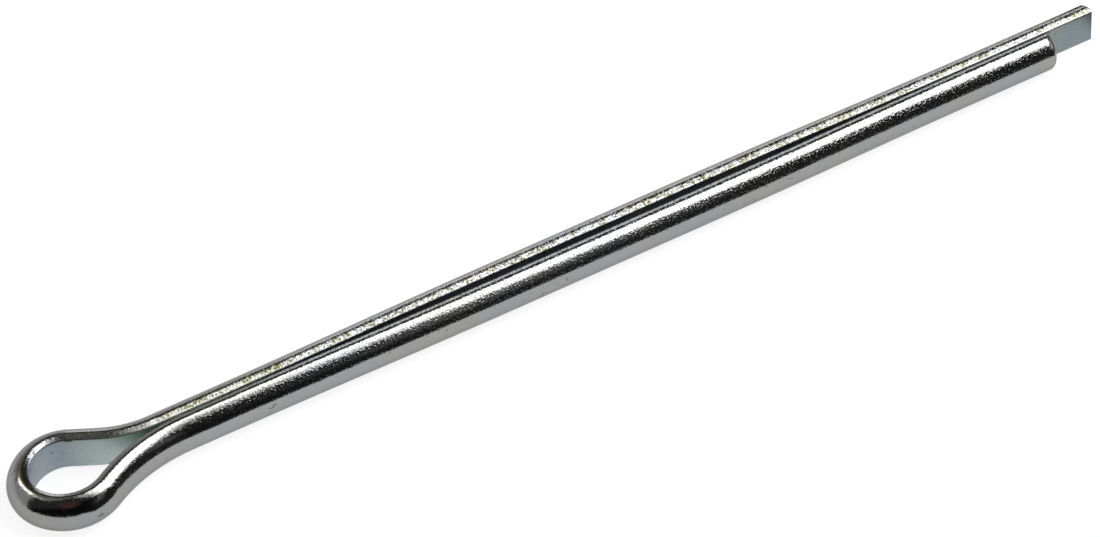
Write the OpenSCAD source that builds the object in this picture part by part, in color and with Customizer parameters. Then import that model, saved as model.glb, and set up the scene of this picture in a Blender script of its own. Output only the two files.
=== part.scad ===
// Cotter pin (split pin) bent from one piece of half-round wire.
// It lies on its side, as it rests on a table, with the loop of its eye level.
// The origin is on the shank's axis, at the neck, where the pin's length starts.
// +X runs along the legs to their tips, +Y is the long leg's side, and +Z is up.
// The wire follows the line of its flat face, which faces inwards all the way round.

/* [Wire] */
// Radius of the half-round wire, which is half the closed shank's diameter
wire_r = 1.5; // [0.8:0.05:2.4]
// Height that the bevel along each edge takes off the flat
bevel_z = 0.23; // [0.1:0.01:0.4]
// Angle between the bevel and the flat, in degrees
bevel_angle = 69; // [50:1:75]

/* [Eye] */
// Inside length of the eye, from its nose to the origin
eye_length = 9.05; // [7:0.05:14]
// Inside radius of the eye's nose
nose_r = 1.78; // [1:0.01:2.4]
// Sideways shift of the nose towards the short leg
eye_skew = 0.1; // [0:0.01:0.2]
// Inside radius of the shoulder on the long leg's side
long_shoulder_r = 2.28; // [2:0.01:3]
// Inside radius of the shoulder on the short leg's side
short_shoulder_r = 2.54; // [2:0.01:3]
// Turn of the nose before the long leg's shoulder starts, in degrees
long_nose_turn = 26; // [10:1:50]
// Turn of the nose before the short leg's shoulder starts, in degrees
short_nose_turn = 33; // [10:1:50]

/* [Flanks] */
// Slope of the long leg's flank where it leaves the shoulder, in degrees
long_flank_angle = 28; // [22:0.5:32]
// Slope of the short leg's flank where it leaves the shoulder, in degrees
short_flank_angle = 31.5; // [22:0.5:36]
// Radius of the long leg's flank, which is all but straight
flank_r = 60; // [40:1:70]
// Turn of the long leg's flank before its neck starts, in degrees
flank_turn = 1.85; // [0.5:0.05:2]

/* [Legs] */
// Length of the pin, from the origin to the end of the short leg
pin_length = 63.5; // [40:0.5:100]
// Length by which the long leg passes the short one
prong_extra = 3.4; // [1.6:0.1:6]
// Gap between the flats where the legs are closed against each other
closed_gap = 0.05; // [0.03:0.01:0.1]
// Gap between the flats in the middle, where the legs spring apart
bow_gap = 0.4; // [0.2:0.01:0.44]
// Closed stretch that follows the neck
closed_neck = 1.5; // [0.5:0.1:4]
// Closed stretch at the end of the short leg
closed_tip = 4.5; // [2:0.1:8]
// Share of the stretch between them over which the legs part, and again close
ramp_share = 0.39; // [0.25:0.01:0.45]

/* [Tips] */
// Radius that rounds the outer edge of the long leg's cut end
long_tip_r = 0.3; // [0.2:0.05:0.7]
// Radius that rounds the outer edge of the short leg's cut end
short_tip_r = 0.55; // [0.2:0.05:0.7]
// Angle at which both roundings leave the round side, in degrees
tip_angle = 12; // [8:1:25]

/* [Hidden] */
$fn = 96;
zinc = [0.74, 0.76, 0.79];

// Height of a flank's start over the closed legs, and radius of the neck that brings it down
function flank_y(shoulder_r, nose_turn, angle, skew) =
    skew - (shoulder_r - nose_r) * sin(nose_turn) + shoulder_r * cos(angle) - closed_gap / 2;
function neck_r(shoulder_r, nose_turn, angle, turn, skew) =
    (flank_y(shoulder_r, nose_turn, angle, skew)
     - flank_r * (cos(angle - turn) - cos(angle))) / (1 - cos(angle - turn));

// Bends of one side of the eye, from the nose to the closed legs, as [turn, radius].
// A positive turn bends round the eye, and a negative one away from it.
function eye_bends(shoulder_r, nose_turn, angle, turn, skew) = [
    [nose_turn, nose_r],
    [90 - nose_turn + angle, shoulder_r],
    if (turn > 0) [-turn, flank_r],
    [turn - angle, neck_r(shoulder_r, nose_turn, angle, turn, skew)],
];
long_eye = eye_bends(long_shoulder_r, long_nose_turn, long_flank_angle, flank_turn, -eye_skew);
short_eye = eye_bends(short_shoulder_r, short_nose_turn, short_flank_angle, 0, eye_skew);

// Centre of a bend that starts at p, and the point where it ends
function bend_centre(p, heading, bend) =
    p + sign(bend[0]) * bend[1] * [sin(heading), -cos(heading)];
function bend_end(p, heading, bend) =
    bend_centre(p, heading, bend)
    - sign(bend[0]) * bend[1] * [sin(heading - bend[0]), -cos(heading - bend[0])];
function run_end(bends, p, heading = 90, i = 0) =
    i == len(bends)
        ? p
        : run_end(bends, bend_end(p, heading, bends[i]), heading - bends[i][0], i + 1);

long_nose = [-eye_length, -eye_skew];
short_nose = [-eye_length, eye_skew];
long_neck_x = run_end(long_eye, long_nose)[0];
short_neck_x = run_end(short_eye, short_nose)[0];

// The legs part past the later neck and are closed again before the short tip
part_x = max(long_neck_x, short_neck_x) + closed_neck;
close_x = pin_length - closed_tip;
shift = (bow_gap - closed_gap) / 2;
ramp_turn = kept(2 * atan(shift / (ramp_share * (close_x - part_x))));
ramp_r = shift / (2 * (1 - cos(ramp_turn)));
ramp = 2 * ramp_r * sin(ramp_turn);

// Half-round section: the flat lies on the Y axis, the round side is at +X, and a bevel
// joins them along both edges
module section() {
    flat_z = wire_r - bevel_z;
    beyond = 2 * wire_r * [sin(bevel_angle), cos(bevel_angle)];
    intersection() {
        circle(wire_r);
        polygon([[0, -flat_z], [0, flat_z], [0, flat_z] + beyond,
                 [beyond[0], -flat_z - beyond[1]]]);
    }
}

// A move in two parts, the second one for what six digits leave out, so that
// stretches of wire meet face to face
function kept(v) =
    v == 0 ? 0 : let (unit = pow(10, floor(log(abs(v))) - 5)) round(v / unit) * unit;
module moved(p) {
    first = [kept(p[0]), kept(p[1])];
    translate(first) translate(p - first) children();
}

// Wire that turns round the local origin, which is on its flat's side, or on its round side
module turned_in(start, turn, radius) {
    rotate_extrude(angle = turn, start = start) moved([radius, 0]) section();
}
module turned_out(start, turn, radius) {
    rotate_extrude(angle = turn, start = start) moved([radius, 0]) mirror([1, 0]) section();
}

// Straight wire along +X between two places, with its flat at a height y
module straight(from_x, to_x, y) {
    moved([from_x, y]) rotate([90, 0, 90]) linear_extrude(to_x - from_x) section();
}

// The eye's wire along a list of bends, from p in the direction of the heading
module eye_run(bends, p, heading = 90, i = 0) {
    if (i < len(bends)) {
        bend = bends[i];
        moved(bend_centre(p, heading, bend))
            if (bend[0] > 0) turned_in(heading + 90 - bend[0], bend[0], bend[1]);
            else turned_out(heading - 90, -bend[0], bend[1]);
        eye_run(bends, bend_end(p, heading, bend), heading - bend[0], i + 1);
    }
}

// The wire's way out from the closed to the parted line, from the local origin along +X
module parting() {
    moved([0, ramp_r]) turned_out(-90, ramp_turn, ramp_r);
    moved([ramp, shift - ramp_r]) turned_in(90, ramp_turn, ramp_r);
}

// Last stretch of a leg, from the local origin, cut square with its outer edge rounded
module tip(tip_r) {
    core_r = wire_r - tip_r * cos(tip_angle);
    intersection() {
        straight(0, tip_r, 0);
        rotate([0, 90, 0]) rotate_extrude() {
            translate([0, -tip_r]) square([core_r + tip_r, tip_r]);
            square([core_r, tip_r]);
            translate([core_r, 0]) intersection() {
                circle(tip_r);
                square(tip_r);
            }
        }
    }
}

// One side of the pin: half the eye, the neck, and the leg to its tip
module side(bends, nose, neck_x, end_x, tip_r) {
    y = closed_gap / 2;
    parted_x = neck_x + kept(part_x - neck_x) + ramp;
    closing_x = parted_x + kept(close_x - ramp - parted_x);
    closed_x = closing_x + ramp;
    tip_x = closed_x + kept(end_x - tip_r - closed_x);
    eye_run(bends, nose);
    straight(neck_x, parted_x - ramp, y);
    moved([parted_x - ramp, y]) parting();
    straight(parted_x, closing_x, y + shift);
    moved([closed_x, y]) mirror([1, 0]) parting();
    straight(closed_x, tip_x, y);
    moved([tip_x, y]) tip(tip_r);
}

module cotter_pin() {
    color(zinc) {
        side(long_eye, long_nose, long_neck_x, pin_length + prong_extra, long_tip_r);
        mirror([0, 1]) side(short_eye, short_nose, short_neck_x, pin_length, short_tip_r);
    }
}

cotter_pin();
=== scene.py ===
"""Cotter pin of bright zinc plated half-round wire, lying on a pale floor."""
import math

import bpy
import numpy as np
from mathutils import Matrix, Vector


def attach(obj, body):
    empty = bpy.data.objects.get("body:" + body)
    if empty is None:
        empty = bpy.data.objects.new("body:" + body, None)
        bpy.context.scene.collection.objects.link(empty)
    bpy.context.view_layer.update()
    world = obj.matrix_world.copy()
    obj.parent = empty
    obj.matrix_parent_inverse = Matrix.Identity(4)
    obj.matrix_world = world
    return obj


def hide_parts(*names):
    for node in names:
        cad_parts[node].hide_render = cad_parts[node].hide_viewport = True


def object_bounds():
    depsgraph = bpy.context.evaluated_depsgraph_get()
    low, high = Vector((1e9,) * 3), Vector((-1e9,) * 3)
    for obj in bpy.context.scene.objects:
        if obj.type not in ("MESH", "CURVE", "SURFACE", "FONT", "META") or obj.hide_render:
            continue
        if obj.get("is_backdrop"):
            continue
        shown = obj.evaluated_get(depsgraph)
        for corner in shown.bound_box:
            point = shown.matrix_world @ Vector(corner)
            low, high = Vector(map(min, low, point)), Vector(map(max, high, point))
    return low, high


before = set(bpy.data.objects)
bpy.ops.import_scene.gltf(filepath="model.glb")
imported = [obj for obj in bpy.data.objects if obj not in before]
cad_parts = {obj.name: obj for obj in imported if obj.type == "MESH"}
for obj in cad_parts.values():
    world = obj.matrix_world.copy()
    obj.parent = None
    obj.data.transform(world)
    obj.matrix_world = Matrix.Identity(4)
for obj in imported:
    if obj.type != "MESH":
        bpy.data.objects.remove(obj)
low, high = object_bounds()
MM = 0.001

# ---------------------------------------------------------------- the wire's sizes, in mm
WIRE_R, BEVEL_Z, BEVEL_ANGLE = 1.5, 0.23, 69
EYE_LENGTH, NOSE_R, EYE_SKEW = 9.05, 1.78, 0.1
LONG_SHOULDER_R, SHORT_SHOULDER_R = 2.28, 2.54
LONG_NOSE_TURN, SHORT_NOSE_TURN = 26, 33
LONG_FLANK, SHORT_FLANK = 28, 31.5
FLANK_R, FLANK_TURN = 60, 1.85
PIN_LENGTH, PRONG_EXTRA = 63.5, 3.4
CLOSED_GAP, BOW_GAP = 0.05, 0.4
CLOSED_NECK, CLOSED_TIP, RAMP_SHARE = 1.5, 4.5, 0.39
LONG_TIP_R, SHORT_TIP_R, TIP_ANGLE = 0.3, 0.55, 12
# the scene's own finish: how far the flats' ends, the flats' edges and the bevels' tops are
# eased, and how many degrees below its top the round side takes up a bevel's easing
END_EASE, FLAT_EASE, TOP_EASE, TOP_TURN = 0.09, 0.12, 0.37, 12
# depth behind a flat up to which a cut end keeps a crisp edge
FLAT_SIDE = 0.3
# the mesh: steps along the eye and the legs, and points over a flat, an eased edge, an eased
# top, a quarter of the round side and a rounded tip
EYE_STEP, LEG_STEP = 0.09, 0.14
FLAT_POINTS, EDGE_POINTS, TOP_POINTS, ROUND_POINTS, TIP_POINTS = 5, 7, 9, 18, 17
# the rings that a cut end shrinks by
CAP_RINGS = (0.93, 0.8, 0.55, 0.28)


def sind(a):
    return math.sin(math.radians(a))


def cosd(a):
    return math.cos(math.radians(a))


def eye_bends(shoulder_r, nose_turn, angle, turn, skew):
    """Bends of half an eye as (turn, radius), as the solid has them."""
    y = skew - (shoulder_r - NOSE_R) * sind(nose_turn) + shoulder_r * cosd(angle) - CLOSED_GAP / 2
    neck_r = (y - FLANK_R * (cosd(angle - turn) - cosd(angle))) / (1 - cosd(angle - turn))
    bends = [(nose_turn, NOSE_R), (90 - nose_turn + angle, shoulder_r)]
    if turn:
        bends.append((-turn, FLANK_R))
    return bends + [(turn - angle, neck_r)]


def eye_line(bends, nose):
    """Points and headings along half the eye, from its nose to the closed legs."""
    p, heading, line = np.array(nose, float), 90.0, []
    for turn, radius in bends:
        s = math.copysign(1, turn)
        centre = p + s * radius * np.array([sind(heading), -cosd(heading)])
        n = max(2, math.ceil(radius * math.radians(abs(turn)) / EYE_STEP))
        for k in range(n):
            h = heading - turn * k / n
            line.append((*(centre - s * radius * np.array([sind(h), -cosd(h)])), h))
        heading -= turn
        p = centre - s * radius * np.array([sind(heading), -cosd(heading)])
    return line, p[0]


LONG = eye_bends(LONG_SHOULDER_R, LONG_NOSE_TURN, LONG_FLANK, FLANK_TURN, -EYE_SKEW)
SHORT = eye_bends(SHORT_SHOULDER_R, SHORT_NOSE_TURN, SHORT_FLANK, 0, EYE_SKEW)
long_eye, long_neck = eye_line(LONG, (-EYE_LENGTH, -EYE_SKEW))
short_eye, short_neck = eye_line(SHORT, (-EYE_LENGTH, EYE_SKEW))

PART_X = max(long_neck, short_neck) + CLOSED_NECK
CLOSE_X = PIN_LENGTH - CLOSED_TIP
RAMP = RAMP_SHARE * (CLOSE_X - PART_X)
SHIFT = (BOW_GAP - CLOSED_GAP) / 2
RAMP_R = SHIFT / (2 * (1 - math.cos(2 * math.atan(SHIFT / RAMP))))


def leg_line(neck_x, end_x, tip_r):
    """Points and headings along a leg: closed, parted in the middle, and closed again."""
    tip_x = end_x - tip_r
    xs = list(np.linspace(neck_x, tip_x, math.ceil((tip_x - neck_x) / LEG_STEP)))
    xs += [tip_x + tip_r * math.sin(a) for a in np.linspace(0, math.pi / 2, TIP_POINTS)[1:]]
    line = []
    for x in xs:
        d = min(x - PART_X, CLOSE_X - x, RAMP)
        near, far = max(d, 0), RAMP - max(d, 0)
        if near < RAMP / 2:
            y, slope = RAMP_R - math.sqrt(RAMP_R**2 - near**2), near / RAMP_R
        else:
            y, slope = SHIFT - RAMP_R + math.sqrt(RAMP_R**2 - far**2), far / RAMP_R
        if CLOSE_X - x < x - PART_X:
            slope = -slope
        line.append((x, CLOSED_GAP / 2 + y, math.degrees(math.atan(slope))))
    return line


def wire_line():
    """The line of the wire's flat, from the short leg's tip round the eye to the long leg's."""
    long_side = long_eye + leg_line(long_neck, PIN_LENGTH + PRONG_EXTRA, LONG_TIP_R)
    short_side = short_eye + leg_line(short_neck, PIN_LENGTH, SHORT_TIP_R)
    return np.array([(x, -y, 180 - h) for x, y, h in short_side[:0:-1]] + long_side)


def eased(before, corner, after, radius, steps):
    """Points that ease a corner between two others with a small curve."""
    p, a, b = (np.array(v, float) for v in (corner, before, after))
    a, b = (a - p) / np.linalg.norm(a - p), (b - p) / np.linalg.norm(b - p)
    reach = radius / math.tan(math.acos(np.clip(a @ b, -1, 1)) / 2)
    p0, p1 = p + a * reach, p + b * reach
    return [tuple((1 - u) ** 2 * p0 + 2 * u * (1 - u) * p + u**2 * p1)
            for u in np.linspace(0, 1, steps)]


def section():
    """Half-round section as (out, up), once round from the middle of the flat."""
    flat_z = WIRE_R - BEVEL_Z
    s, c = sind(BEVEL_ANGLE), cosd(BEVEL_ANGLE)
    run = -flat_z * c + math.sqrt((flat_z * c) ** 2 + WIRE_R**2 - flat_z**2)
    low_corner, top_corner = (0, flat_z), (run * s, flat_z + run * c)
    meet = math.degrees(math.atan2(top_corner[1], top_corner[0]))
    past = (WIRE_R * cosd(meet - TOP_TURN), WIRE_R * sind(meet - TOP_TURN))
    low = eased((0, 0), low_corner, top_corner, FLAT_EASE, EDGE_POINTS)
    half = [(0.0, z) for z in np.linspace(0, low[0][1], FLAT_POINTS)[:-1]] + low
    top = eased(low_corner, top_corner, past, TOP_EASE, TOP_POINTS)
    start, end = np.array(low[-1]), np.array(top[0])
    half += [tuple(start * (1 - u) + end * u) for u in (0.33, 0.67)] + top
    turn = math.degrees(math.atan2(top[-1][1], top[-1][0]))
    half += [(WIRE_R * cosd(a), WIRE_R * sind(a)) for a in np.linspace(turn, 0, ROUND_POINTS)[1:]]
    return np.array(half + [(a, -z) for a, z in half[-2:0:-1]])


def near_tip(ring, d, tip_r):
    """The section at a distance d into a tip, inside its rounding and its flat's eased end."""
    limit = WIRE_R - tip_r * cosd(TIP_ANGLE) + math.sqrt(max(tip_r**2 - d * d, 0))
    reach = np.linalg.norm(ring, axis=1)
    pts = ring * np.minimum(1, limit / np.maximum(reach, 1e-9))[:, None]
    past = max(d - tip_r + END_EASE, 0)
    sink = END_EASE - math.sqrt(max(END_EASE**2 - past**2, 0))
    pts[:, 0] = np.maximum(pts[:, 0], sink)
    return pts


def wire_walls(line, ring):
    """The walls' points: a row for each point of the line, a column for each of the section."""
    walls = np.zeros((len(line), len(ring), 3))
    for i, (x, y, h) in enumerate(line):
        long_leg = i > len(line) / 2
        tip_r = LONG_TIP_R if long_leg else SHORT_TIP_R
        d = x - (PIN_LENGTH + (PRONG_EXTRA if long_leg else 0) - tip_r)
        pts = near_tip(ring, d, tip_r) if d > -1e-9 else ring
        walls[i, :, 0] = x - sind(h) * pts[:, 0]
        walls[i, :, 1] = y + cosd(h) * pts[:, 0]
        walls[i, :, 2] = pts[:, 1]
    return walls


def neighbours(sides):
    """Pairs of neighbouring columns, once round the wire."""
    return [(j, (j + 1) % sides) for j in range(sides)]


def close_ends(points, walls):
    """Faces of the two cut ends, each as shrinking rings and a fan. Their points are added to
    the list."""
    sides = walls.shape[1]
    faces = []
    for row, turned in ((0, False), (len(walls) - 1, True)):
        rim = walls[row]
        centre = rim.mean(0)
        outer = range(row * sides, (row + 1) * sides)
        end = []
        for share in CAP_RINGS:
            inner = range(len(points), len(points) + sides)
            points += [tuple(p) for p in (centre + (rim - centre) * share) * MM]
            end += [(outer[j], outer[k], inner[k], inner[j]) for j, k in neighbours(sides)]
            outer = inner
        points.append(tuple(centre * MM))
        end += [(outer[j], outer[k], len(points) - 1) for j, k in neighbours(sides)]
        faces += [face[::-1] for face in end] if turned else end
    return faces


def wire_mesh(line, ring):
    """The wire as one closed mesh, its walls first and then its cut ends, and its points."""
    walls = wire_walls(line, ring)
    rows, sides = walls.shape[:2]
    points = [tuple(p) for p in walls.reshape(-1, 3) * MM]
    faces = [(i * sides + j, (i + 1) * sides + j, (i + 1) * sides + k, i * sides + k)
             for i in range(rows - 1) for j, k in neighbours(sides)]
    faces += close_ends(points, walls)
    mesh = bpy.data.meshes.new("pin_wire")
    mesh.from_pydata(points, [], faces)
    points = np.array(points)
    corners = np.array([(f[0], f[a], f[a + 1]) for f in faces for a in range(1, len(f) - 1)])
    a, b, c = points[corners.T]
    volume = np.einsum("ij,ij->i", a, np.cross(b, c)).sum() / 6
    if volume < 0:
        mesh.flip_normals()
    print("wire volume mm3", round(abs(volume) * 1e9, 1), "triangles", len(corners))
    return mesh, points


def lengths(path):
    """Length of a path up to each of its points."""
    return np.concatenate([[0], np.cumsum(np.linalg.norm(np.diff(path, axis=0), axis=1))])


def lay_out(mesh, points, line, ring):
    """Each corner's place along and around the wire, in mm, for the grain. On a cut end it is
    the place across the wire."""
    along, around = lengths(line[:, :2]), lengths(np.vstack([ring, ring[:1]]))
    sides = len(ring)
    vertex = np.empty(len(mesh.loops), int)
    mesh.loops.foreach_get("vertex_index", vertex)
    total = np.empty(len(mesh.polygons), int)
    mesh.polygons.foreach_get("loop_total", total)
    face = np.repeat(np.arange(len(total)), total)
    place = points[vertex, 1:] / MM
    wall = face < (len(line) - 1) * sides
    row, column = vertex[wall] // sides, vertex[wall] % sides
    # the last column of faces ends where the wire's way round ends
    column[(face[wall] % sides == sides - 1) & (column == 0)] = sides
    place[wall] = np.column_stack([along[row], around[column]])
    uv = mesh.uv_layers.new(name="Wire")
    uv.data.foreach_set("uv", place.ravel().astype(np.float32))


def mark_round_side(mesh, ring, rows):
    """How far each point is from the flats: 0 on a flat or a cut end, 1 on the round side."""
    value = np.zeros(len(mesh.vertices), np.float32)
    value[: rows * len(ring)] = np.tile(np.clip(ring[:, 0] / FLAT_EASE, 0, 1), rows)
    mesh.attributes.new("round_side", "FLOAT", "POINT").data.foreach_set("value", value)


def mark_crisp_rims(mesh, ring, rows):
    """The cut ends' edges are crisp along the flats and smooth round the outside."""
    sides = len(ring)
    rims = {frozenset((row * sides + j, row * sides + k))
            for row in (0, rows - 1) for j, k in neighbours(sides)
            if max(ring[j, 0], ring[k, 0]) < FLAT_SIDE}
    crisp = [frozenset(edge.vertices) in rims for edge in mesh.edges]
    mesh.attributes.new("sharp_edge", "BOOLEAN", "EDGE").data.foreach_set("value", crisp)


line, ring = wire_line(), section()
mesh, points = wire_mesh(line, ring)
lay_out(mesh, points, line, ring)
mark_round_side(mesh, ring, len(line))
mesh.shade_smooth()
mark_crisp_rims(mesh, ring, len(line))
pin = bpy.data.objects.new("pin_wire", mesh)
bpy.context.collection.objects.link(pin)
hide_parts("cotter_pin")
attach(pin, "root")


# ---------------------------------------------------------------- zinc plating
FLAT_ROUGH, ROUND_ROUGH, FINE_ROUGH = 0.4, 0.08, 0.06
# the upper bevel's place around the wire, from the middle of the flat, and half its width
BEVEL_PLACE, BEVEL_HALF = 1.45, 0.38
# painted light: paler colours for the inner flats round the crotch and at the eye's nose, standing
# in for brighter reflections there
PAINTED_CROTCH_LIGHT, PAINTED_NOSE_LIGHT = (0.55, 0.64, 0.6), (0.42, 0.47, 0.5)
STRAW, PIT, BLACK = (0.1, 0.095, 0.03), (0.12, 0.12, 0.12), (0, 0, 0)


class Nodes:
    """Short calls that add and join shader nodes."""

    def __init__(self, tree):
        self.tree = tree
        tree.nodes.clear()

    def add(self, kind, **values):
        node = self.tree.nodes.new(kind)
        for key, val in values.items():
            if hasattr(node, key):
                setattr(node, key, val)
            else:
                self.put(val, node.inputs[key])
        return node

    def put(self, val, socket):
        if isinstance(val, bpy.types.NodeSocket):
            self.tree.links.new(val, socket)
        else:
            socket.default_value = val

    def math(self, op, a, b=0.0, c=0.0, clamp=False):
        node = self.tree.nodes.new("ShaderNodeMath")
        node.operation, node.use_clamp = op, clamp
        for s, val in zip(node.inputs, (a, b, c)):
            self.put(val, s)
        return node.outputs[0]

    def rise(self, value, start, end):
        """A factor that goes evenly from 0 at the start to 1 at the end."""
        slope = 1 / (end - start)
        return self.math("MULTIPLY_ADD", value, slope, -start * slope, clamp=True)

    def stretch(self, coords, scale):
        node = self.tree.nodes.new("ShaderNodeMapping")
        self.put(coords, node.inputs["Vector"])
        node.inputs["Scale"].default_value = scale
        return node.outputs[0]

    def noise(self, coords, scale, detail=2.0, rough=0.5, seed=0.0):
        node = self.tree.nodes.new("ShaderNodeTexNoise")
        node.noise_dimensions = "4D"
        self.put(coords, node.inputs["Vector"])
        node.inputs["W"].default_value = seed
        node.inputs["Scale"].default_value = scale
        node.inputs["Detail"].default_value = detail
        node.inputs["Roughness"].default_value = rough
        return node.outputs[0]

    def ramp(self, fac, stops):
        node = self.tree.nodes.new("ShaderNodeValToRGB")
        self.put(fac, node.inputs[0])
        els = node.color_ramp.elements
        while len(els) < len(stops):
            els.new(0.5)
        for el, (pos, col) in zip(els, stops):
            el.position = pos
            el.color = (*(col if isinstance(col, tuple) else (col,) * 3), 1)
        return node.outputs[0]

    def mix(self, fac, a, b):
        node = self.tree.nodes.new("ShaderNodeMix")
        node.data_type = "RGBA"
        self.put(fac, node.inputs[0])
        self.put(a if isinstance(a, bpy.types.NodeSocket) else (*a, 1), node.inputs[6])
        self.put(b if isinstance(b, bpy.types.NodeSocket) else (*b, 1), node.inputs[7])
        return node.outputs[2]

    def bump(self, height, distance, strength, under=None):
        node = self.tree.nodes.new("ShaderNodeBump")
        node.inputs["Distance"].default_value = distance
        self.put(strength, node.inputs["Strength"])
        self.put(height, node.inputs["Height"])
        if under is not None:
            self.put(under, node.inputs["Normal"])
        return node.outputs[0]


def worked_bevel(net, wire, spot):
    """The long leg's upper bevel, which is the most worked stretch."""
    around = net.add("ShaderNodeSeparateXYZ", Vector=wire).outputs[1]
    edge = net.math("COMPARE", around, BEVEL_PLACE, BEVEL_HALF)
    bevel = net.math("MULTIPLY", net.rise(spot[1], 0, 0.2 * MM), edge)
    return net.math("MULTIPLY", bevel, net.rise(spot[0], -2 * MM, 2 * MM))


def plating_grain(net, wire, spot, side, fine, bevel):
    """Fine crystals, drawn out a little along the wire, over a soft orange peel and a slow
    wave. The flats have none of the first two, and the worked bevel is rougher."""
    worn = net.rise(net.math("ABSOLUTE", spot[2]), 0.5 * MM, 0.9 * MM)
    amount = net.math("MULTIPLY", side, net.math("MULTIPLY_ADD", worn, 0.85, 0.15))
    along = net.math("MULTIPLY_ADD", spot[0], 0.02 / MM, 0.6)
    amount = net.math("MULTIPLY", amount, net.math("MINIMUM", along, 1.0))
    fading = net.math("MULTIPLY_ADD", spot[0], -0.012 / MM, 1.3, clamp=True)
    worked = net.math("MULTIPLY", bevel, fading)
    amount = net.math("MULTIPLY", amount, net.math("MULTIPLY_ADD", worked, 1.4, 1.0))
    crystals = net.ramp(net.noise(net.stretch(wire, (0.85, 1, 1)), 8.0, 2, 0.55, 31.0),
                        [(0.52, 0.0), (0.68, 1.0)])
    relief = net.math("MULTIPLY_ADD", crystals, 0.35, net.math("MULTIPLY", fine, 0.48))
    peel = net.noise(net.stretch(wire, (0.6, 1, 1)), 2.2, 2, 0.5, 5.0)
    wave = net.noise(net.stretch(wire, (0.35, 1, 1)), 0.55, 1, 0.5, 9.0)
    normal = net.bump(wave, 0.03 * MM, 0.5)
    normal = net.bump(peel, 0.012 * MM, net.math("MULTIPLY", amount, 0.7), normal)
    return net.bump(relief, 0.024 * MM, amount, normal)


def plating_colour(net, wire, place, spot, side, bevel):
    """Bluish grey with faint straw and blue films, straw flecks and a few pits. The flats carry
    painted light: they are paler round the crotch and at the nose inside the eye, standing in
    for brighter reflections there. The flecks crowd on the worked bevel."""
    film = net.noise(place, 260.0, 3, 0.55, 3.0)
    tint = net.ramp(film, [(0.3, (0.305, 0.315, 0.335)), (0.5, (0.315, 0.32, 0.32)),
                           (0.7, (0.325, 0.325, 0.305))])
    tint = net.mix(net.math("MULTIPLY", spot[0], -0.013 / MM, clamp=True), tint, BLACK)
    flat = net.ramp(film, [(0.35, (0.25, 0.29, 0.34)), (0.55, (0.28, 0.325, 0.345)),
                           (0.7, (0.28, 0.345, 0.32))])
    dark = net.math("MULTIPLY_ADD", spot[0], 0.0005 / MM, 0.02, clamp=True)
    flat = net.mix(dark, flat, BLACK)
    # painted light: the flats are paler round the crotch, where the legs meet the eye, and at the
    # eye's nose
    crotch_light_mask = net.math("MULTIPLY", net.rise(spot[0], -6.3 * MM, -1.5 * MM),
                     net.rise(spot[0], 8 * MM, 2 * MM))
    flat = net.mix(crotch_light_mask, flat, PAINTED_CROTCH_LIGHT)
    flat = net.mix(net.rise(spot[0], -6 * MM, -9.7 * MM), flat, PAINTED_NOSE_LIGHT)
    tint = net.mix(side, flat, tint)
    flecks = net.math("MULTIPLY_ADD", bevel, 0.86, 0.08)
    haze = net.math("MULTIPLY_ADD", spot[0], -0.035 / MM, 0.42, clamp=True)
    haze = net.math("MULTIPLY", bevel, haze)
    patches = net.ramp(net.noise(wire, 1.3, 2, 0.6, 21.0), [(0.42, 0.0), (0.52, 1.0)])
    specks = net.ramp(net.noise(wire, 6.5, 3, 0.7, 25.0), [(0.46, 0.0), (0.56, 1.0)])
    gold = net.math("MULTIPLY", patches, specks)
    tint = net.mix(net.math("MULTIPLY_ADD", gold, flecks, haze), tint, STRAW)
    pits = net.ramp(net.noise(net.stretch(wire, (0.7, 1, 1)), 3.1, 2, 0.5, 14.0),
                    [(0.0, 0.0), (0.26, 0.0), (0.34, 1.0)])
    return net.mix(pits, PIT, tint)


def zinc():
    """Bright zinc plating, smoother on the round side than on the flats."""
    mat = bpy.data.materials.new("zinc_plate")
    mat.use_nodes = True
    net = Nodes(mat.node_tree)
    wire = net.add("ShaderNodeUVMap", uv_map="Wire").outputs[0]
    place = net.add("ShaderNodeTexCoord").outputs["Object"]
    spot = net.add("ShaderNodeSeparateXYZ", Vector=place).outputs
    side = net.add("ShaderNodeAttribute", attribute_name="round_side").outputs["Fac"]
    fine = net.noise(net.stretch(wire, (0.8, 1, 1)), 7.5, 3, 0.6, 1.0)
    bevel = worked_bevel(net, wire, spot)
    shader = net.add("ShaderNodeBsdfPrincipled")
    shader.inputs["Metallic"].default_value = 1.0
    shader.inputs["Specular Tint"].default_value = (0.6, 0.6, 0.6, 1)
    net.put(plating_colour(net, wire, place, spot, side, bevel), shader.inputs["Base Color"])
    rough = net.math("MULTIPLY_ADD", side, ROUND_ROUGH - FLAT_ROUGH, FLAT_ROUGH)
    rough = net.math("MULTIPLY_ADD", fine, FINE_ROUGH, rough)
    net.put(rough, shader.inputs["Roughness"])
    net.put(plating_grain(net, wire, spot, side, fine, bevel), shader.inputs["Normal"])
    net.put(shader.outputs[0], net.add("ShaderNodeOutputMaterial").inputs[0])
    return mat


mesh.materials.append(zinc())


# ---------------------------------------------------------------- floor and world
FLOOR_SIZE, FLOOR_GREY, FLOOR_GLOW = 6, 0.3, 0.82
SKY_SEEN, SKY_LIGHT = 1.0, 0.4


def grey(v):
    return (v, v, v)


def rays_that_see_the_ground(net):
    """1 for the camera's rays and for mirrored and passing ones, and 0 for the rest."""
    path = net.add("ShaderNodeLightPath")
    seen = net.math("MAXIMUM", path.outputs["Is Camera Ray"], path.outputs["Is Glossy Ray"])
    return net.math("MAXIMUM", seen, path.outputs["Is Transmission Ray"])


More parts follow.
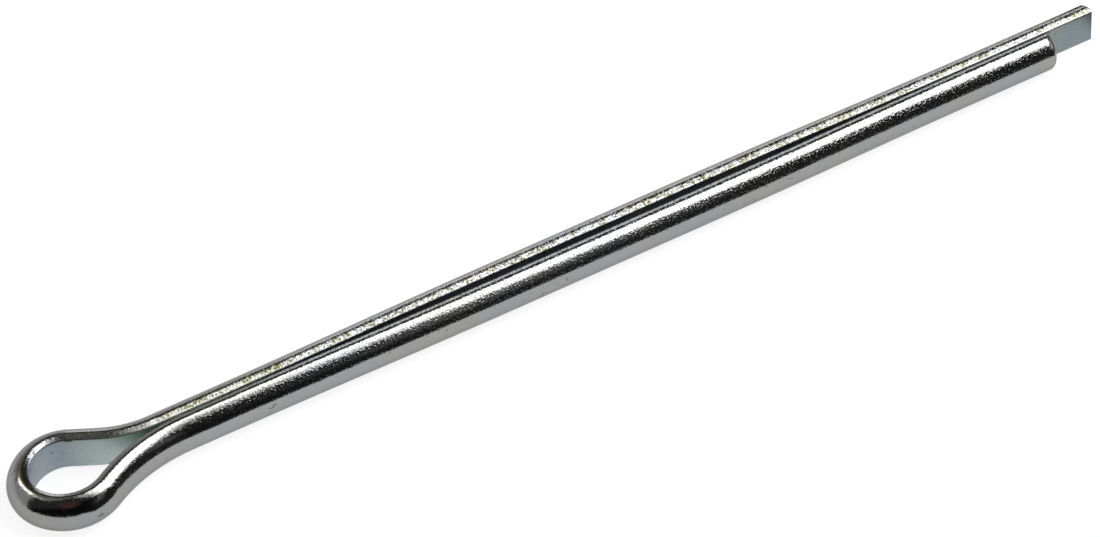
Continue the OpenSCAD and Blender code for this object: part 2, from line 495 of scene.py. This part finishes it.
def pale_floor():
    """A matt floor that glows white for the rays that see it and keeps the pin's shadow."""
    mat = bpy.data.materials.new("pale_floor")
    mat.use_nodes = True
    net = Nodes(mat.node_tree)
    matt = net.add("ShaderNodeBsdfDiffuse")
    matt.inputs[0].default_value = (*grey(FLOOR_GREY), 1)
    glow = net.add("ShaderNodeEmission")
    glow.inputs[0].default_value = (*grey(1), 1)
    net.put(net.math("MULTIPLY", rays_that_see_the_ground(net), FLOOR_GLOW), glow.inputs[1])
    both = net.add("ShaderNodeAddShader")
    net.put(matt.outputs[0], both.inputs[0])
    net.put(glow.outputs[0], both.inputs[1])
    net.put(both.outputs[0], net.add("ShaderNodeOutputMaterial").inputs[0])
    return mat


def studio_sky():
    """A white sky, dimmer as a light than it looks."""
    world = bpy.data.worlds.new("studio")
    world.use_nodes = True
    net = Nodes(world.node_tree)
    back = net.add("ShaderNodeBackground")
    back.inputs[0].default_value = (*grey(1), 1)
    seen = rays_that_see_the_ground(net)
    net.put(net.math("MULTIPLY_ADD", seen, SKY_SEEN - SKY_LIGHT, SKY_LIGHT), back.inputs[1])
    net.put(back.outputs[0], net.add("ShaderNodeOutputWorld").inputs[0])
    return world


bpy.ops.mesh.primitive_plane_add(size=FLOOR_SIZE, location=(0.03, 0, low.z))
floor = bpy.context.object
floor.name = "floor"
floor.data.materials.append(pale_floor())
floor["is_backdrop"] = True
bpy.context.scene.world = studio_sky()


# ---------------------------------------------------------------- lights and reflections
# the middle of the dome of lights and cards
HUB = Vector((0.028, 0, 0))
LAMP_R = 0.6
# near cards shift what they mirror along the pin; the others are layers of one dome
NEAR_R, FRONT_R, DOME_R, REAR_R = 0.12, 0.88, 0.9, 0.92
# the angles and sides at which cards meet
LEVEL, KEY_LOW, KEY_HIGH, PAST_TOP, HORIZON, GROUND = -8, 54, 91, 103, 161, 179
LEFT, RIGHT = -89, 75
# in the key light's painted reflection the left side leans, and a dim strip goes before it
KEY_LEFT, DIM_LEFT, KEY_LIGHT = (13, -4.5), (4, -15), (5.1, 5.0, 4.9)
# degrees between a card's points, and how far ground cards lie over the floor, in mm
CARD_STEP, GROUND_LIFT = 5, 0.05


def direction(angle, side):
    """A direction from the pin: angle goes round its length, with 0 level on the near side,
    90 overhead and 180 level behind, and side leans it towards the tips."""
    return Vector((sind(side), -cosd(side) * cosd(angle), cosd(side) * sind(angle)))


def softbox(name, start, end, x0, x1, radiance):
    """A rectangular lamp along the pin that fills a range of angles round it. Its own mirror
    image is left to a card."""
    mid, half = (start + end) / 2, (end - start) / 2
    lamp = bpy.data.lights.new(name, "AREA")
    lamp.shape = "RECTANGLE"
    lamp.size = x1 - x0
    lamp.size_y = 2 * LAMP_R * math.tan(math.radians(half))
    lamp.energy = radiance * math.pi * lamp.size * lamp.size_y
    obj = bpy.data.objects.new(name, lamp)
    bpy.context.collection.objects.link(obj)
    axis_x, axis_z = Vector((1, 0, 0)), direction(mid, 0)
    spot = HUB + axis_z * LAMP_R + axis_x * (x0 + x1) / 2
    obj.matrix_world = Matrix.Translation(spot) @ Matrix(
        (axis_x, axis_z.cross(axis_x), axis_z)).transposed().to_4x4()
    obj.visible_glossy = False


def mirrored_only(name, pts, quads, shade):
    """A glowing or dark mesh that shows only in reflections."""
    me = bpy.data.meshes.new(name)
    me.from_pydata([tuple(p) for p in pts], [], quads)
    obj = bpy.data.objects.new(name, me)
    bpy.context.collection.objects.link(obj)
    mat = bpy.data.materials.new(name)
    mat.use_nodes = True
    net = Nodes(mat.node_tree)
    glow = net.add("ShaderNodeEmission")
    glow.inputs[0].default_value = (*shade, 1)
    net.put(glow.outputs[0], net.add("ShaderNodeOutputMaterial").inputs[0])
    me.materials.append(mat)
    for ray in ("camera", "diffuse", "transmission", "volume_scatter", "shadow"):
        setattr(obj, "visible_" + ray, False)
    obj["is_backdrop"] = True


def card(name, start, end, left, right, shade, radius=DOME_R):
    """A card that fills a patch of the dome over the pin and shows only in reflections. It
    goes from a start to an end angle. A side that leans has a pair, its place at each."""
    left, right = (side if isinstance(side, tuple) else (side, side) for side in (left, right))
    rows = max(2, math.ceil((end - start) / CARD_STEP)) + 1
    cols = max(2, math.ceil((max(right) - min(left)) / CARD_STEP)) + 1
    pts = []
    for u in np.linspace(0, 1, rows):
        a, b = left[0] + (left[1] - left[0]) * u, right[0] + (right[1] - right[0]) * u
        pts += [HUB + direction(start + (end - start) * u, a + (b - a) * v) * radius
                for v in np.linspace(0, 1, cols)]
    quads = [(r * cols + c, r * cols + c + 1, (r + 1) * cols + c + 1, (r + 1) * cols + c)
             for r in range(rows - 1) for c in range(cols - 1)]
    mirrored_only(name, pts, quads, shade)


def ground_card(name, x0, x1, y0, y1, shade):
    """A card that lies just over the floor, with its sides in mm, and shows only in reflections."""
    x0, x1, y0, y1, z = x0 * MM, x1 * MM, y0 * MM, y1 * MM, low.z + GROUND_LIFT * MM
    mirrored_only(name, [(x0, y0, z), (x1, y0, z), (x1, y1, z), (x0, y1, z)],
                  [(0, 1, 2, 3)], shade)


# the key light and a small warm light to the left, as lamps; their mirror images are painted
# reflections on cards seen only in the metal, with a dim strip, a low fringe, a skirt and coloured
# edges
softbox("key_softbox", KEY_LOW, KEY_HIGH, 0.13, 1.04, 3.4)
softbox("left_softbox", PAST_TOP, 130, -0.35, -0.2, 3.0)
card("key_card", 56, 92.5, KEY_LEFT, (50, 62), KEY_LIGHT, NEAR_R)
card("key_top_card", 92.5, 101, -4, (10, 8), KEY_LIGHT, NEAR_R)
card("key_edge_card", 56, 92.5, DIM_LEFT, KEY_LEFT, grey(1.1), NEAR_R)
card("key_low_card", 50, 56, (14, 12), (18, 20), grey(0.9), NEAR_R)
card("key_skirt", 24, 50, (4, 10), (18, 20), grey(0.2), NEAR_R)
card("key_cool_edge", 101, 108, (8, 15), (30, 35), (0.12, 0.22, 0.45), NEAR_R)
card("left_card", 111, 142, -33, -20, (4.0, 3.9, 3.5))
card("left_warm_edge", 108, 150, -20, -16, (0.9, 0.65, 0.2))
card("left_cool_edge", PAST_TOP, 148, -39, -33, (0.22, 0.36, 0.66))
# painted reflections of dark surroundings, on cards seen only in the metal, with a red patch and a
# bright patch by the eye's shoulder
card("near_left_dark", LEVEL, KEY_LOW, LEFT, 12, grey(0.01))
card("near_dark", LEVEL, KEY_LOW, 12, RIGHT, grey(0.03))
card("near_low_dark", -18, LEVEL, (45, 30), RIGHT, grey(0.03))
card("red_card", 44, 74, -26, -5, (0.13, 0.06, 0.045), FRONT_R)
card("overhead_dark", KEY_LOW, KEY_HIGH, -30, RIGHT, grey(0.04))
card("rim_card", KEY_HIGH, PAST_TOP, (-30, -20), -6, grey(0.42))
card("left_low_dark", KEY_LOW, PAST_TOP, LEFT, -30, grey(0.05))
card("left_dark", PAST_TOP, HORIZON, LEFT, -37, grey(0.6))
card("shoulder_card", 92, 101, 25, 36, grey(4), FRONT_R)
card("back_dark", PAST_TOP, HORIZON, -22, 8, (0.27, 0.24, 0.15), REAR_R)
card("back_left_dark", 142, HORIZON, -37, -18, (0.3, 0.3, 0.25))
card("top_dark", KEY_HIGH, PAST_TOP, -6, RIGHT, grey(0.06))
card("top_far_dark", PAST_TOP, HORIZON, 8, RIGHT, grey(0.05))
# painted glint: a small straw card, seen only in reflections, that the rounded ends show
card("painted_tip_glint", 18, 40, 61, 80, (2.2, 1.7, 0.9), NEAR_R)
# painted shade in reflections: dark cards just over the floor, seen only in the metal, darken the
# mirrored ground a little way off in front of the legs, and beyond the tips
ground_card("ground_dark", -4, 500, -900, -15, grey(0.03))
ground_card("tip_ground_dark", PIN_LENGTH + PRONG_EXTRA + 0.8, 500, -15, 300, grey(0.05))
# painted reflection of a brighter band over the far horizon, on cards seen only in the metal
card("horizon_card", HORIZON, GROUND, 4, 80, grey(1.8), NEAR_R)
card("mid_horizon_card", HORIZON, GROUND, -25, RIGHT, grey(0.6))
card("left_horizon_card", HORIZON, GROUND, -75, -25, grey(0.9))

# ---------------------------------------------------------------- camera
AZIMUTH, ELEVATION, ROLL = 25.165, 48.666, -4.398
DISTANCE, LENS, SENSOR = 0.35347, 184.33, 36
aim = Vector((0.02676, -0.00025, 0.0))
ahead = Vector((sind(AZIMUTH) * cosd(ELEVATION), cosd(AZIMUTH) * cosd(ELEVATION), -sind(ELEVATION)))
level = ahead.cross(Vector((0, 0, 1))).normalized()
up = level.cross(ahead)
right = level * cosd(ROLL) + up * sind(ROLL)
up = up * cosd(ROLL) - level * sind(ROLL)
cam = bpy.data.objects.new("camera", bpy.data.cameras.new("camera"))
bpy.context.collection.objects.link(cam)
cam.matrix_world = Matrix.Translation(aim - ahead * DISTANCE) @ Matrix(
    (right, up, -ahead)).transposed().to_4x4()
cam.data.lens = LENS
cam.data.sensor_width = SENSOR
cam.data.clip_start, cam.data.clip_end = 0.01, 20
bpy.context.scene.camera = cam
bpy.context.scene.view_settings.view_transform = "Standard"

low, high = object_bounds()
